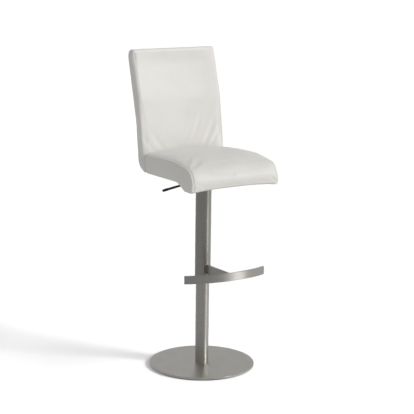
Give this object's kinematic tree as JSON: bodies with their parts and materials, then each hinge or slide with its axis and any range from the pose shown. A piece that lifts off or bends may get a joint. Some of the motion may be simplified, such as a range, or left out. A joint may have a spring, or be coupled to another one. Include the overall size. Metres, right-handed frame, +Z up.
{
  "type": "swivel bar stool",
  "caption": "Tall upholstered stool with a back, a round floor plate, a gas-lift column that swivels, a side lever and a bowed footrest.",
  "frame": {"origin": "centre of the round base, on the floor", "axes": "+Z up the column; the sitter faces -Y; the height lever is on the sitter's right, towards -X"},
  "size_m": [0.4499, 0.5205, 1.346],
  "materials": {
    "white_leather": "smooth, fine grain, satin",
    "brushed_stainless": "brushed, fine grit",
    "bright_steel": "ground and polished",
    "zinc_steel": "zinc plated",
    "black_steel": "black powder coat",
    "weight_steel": "raw plate",
    "black_nylon": "moulded",
    "black_rubber": "matte",
    "foam": "moulded foam",
    "webbing": "elastic weave",
    "lining_cloth": "non-woven"
  },
  "bodies": {
    "base": {"floor_pad": "black_rubber", "base_weight": "weight_steel", "base_cover": "brushed_stainless", "column_tube": "brushed_stainless", "tube_foot_ring": "zinc_steel", "base_screws": "zinc_steel", "tube_top_bush": "black_nylon", "rod_support_disc": "zinc_steel", "bearing_lower_race": "bright_steel"},
    "gas_rod": {"gas_rod": "bright_steel", "gas_piston": "black_nylon", "bearing_upper_race": "bright_steel", "bearing_balls": "bright_steel", "bearing_cage": "black_nylon", "rod_washer": "zinc_steel", "rod_clip": "zinc_steel", "bump_stop": "black_rubber"},
    "seat": {"gas_cylinder": "black_steel", "gas_rod_guide": "black_nylon", "column_sleeve": "brushed_stainless", "sleeve_bush": "black_nylon", "sleeve_flange": "zinc_steel", "sleeve_flange_screws": "zinc_steel", "footrest_arm": "brushed_stainless", "footrest_bar": "brushed_stainless", "mechanism_pan": "black_steel", "gas_socket": "black_steel", "mechanism_bolts": "zinc_steel", "mechanism_nuts": "zinc_steel", "lever_bracket": "black_steel", "lever_pivot_pin": "zinc_steel", "frame_loop": "black_steel", "cross_rails": "black_steel", "seat_webbing": "webbing", "back_webbing": "webbing", "seat_foam": "foam", "seat_cover": "white_leather", "back_foam": "foam", "back_cover": "white_leather", "underside_panel": "lining_cloth"},
    "lever": {"lever_cam": "black_steel", "lever_rod": "black_steel", "lever_end_cap": "black_nylon"},
    "release_pin": {"release_pin": "bright_steel"}
  },
  "joints": [
    {"name": "seat_swivel", "type": "hinge", "parent": "base", "child": "gas_rod", "pos_m": [0, 0, 0], "axis": [0, 0, 1], "continuous": true},
    {"name": "height_lift", "type": "slide", "parent": "gas_rod", "child": "seat", "axis": [0, 0, 1], "range_m": [-0.25, 0]},
    {"name": "lever_lift", "type": "hinge", "parent": "seat", "child": "lever", "pos_m": [-0.042, 0, 0.8094], "axis": [0, 1, 0], "range_deg": [0, 6], "stiffness_Nm_per_rad": 12, "springref_deg": -1.72},
    {"name": "pin_press", "type": "slide", "parent": "seat", "child": "release_pin", "axis": [0, 0, -1], "range_m": [0, 0.0046]}
  ],
  "couplings": [
    {"joint": "pin_press", "follows": "lever_lift", "m_per_rad": 0.0427}
  ]
}
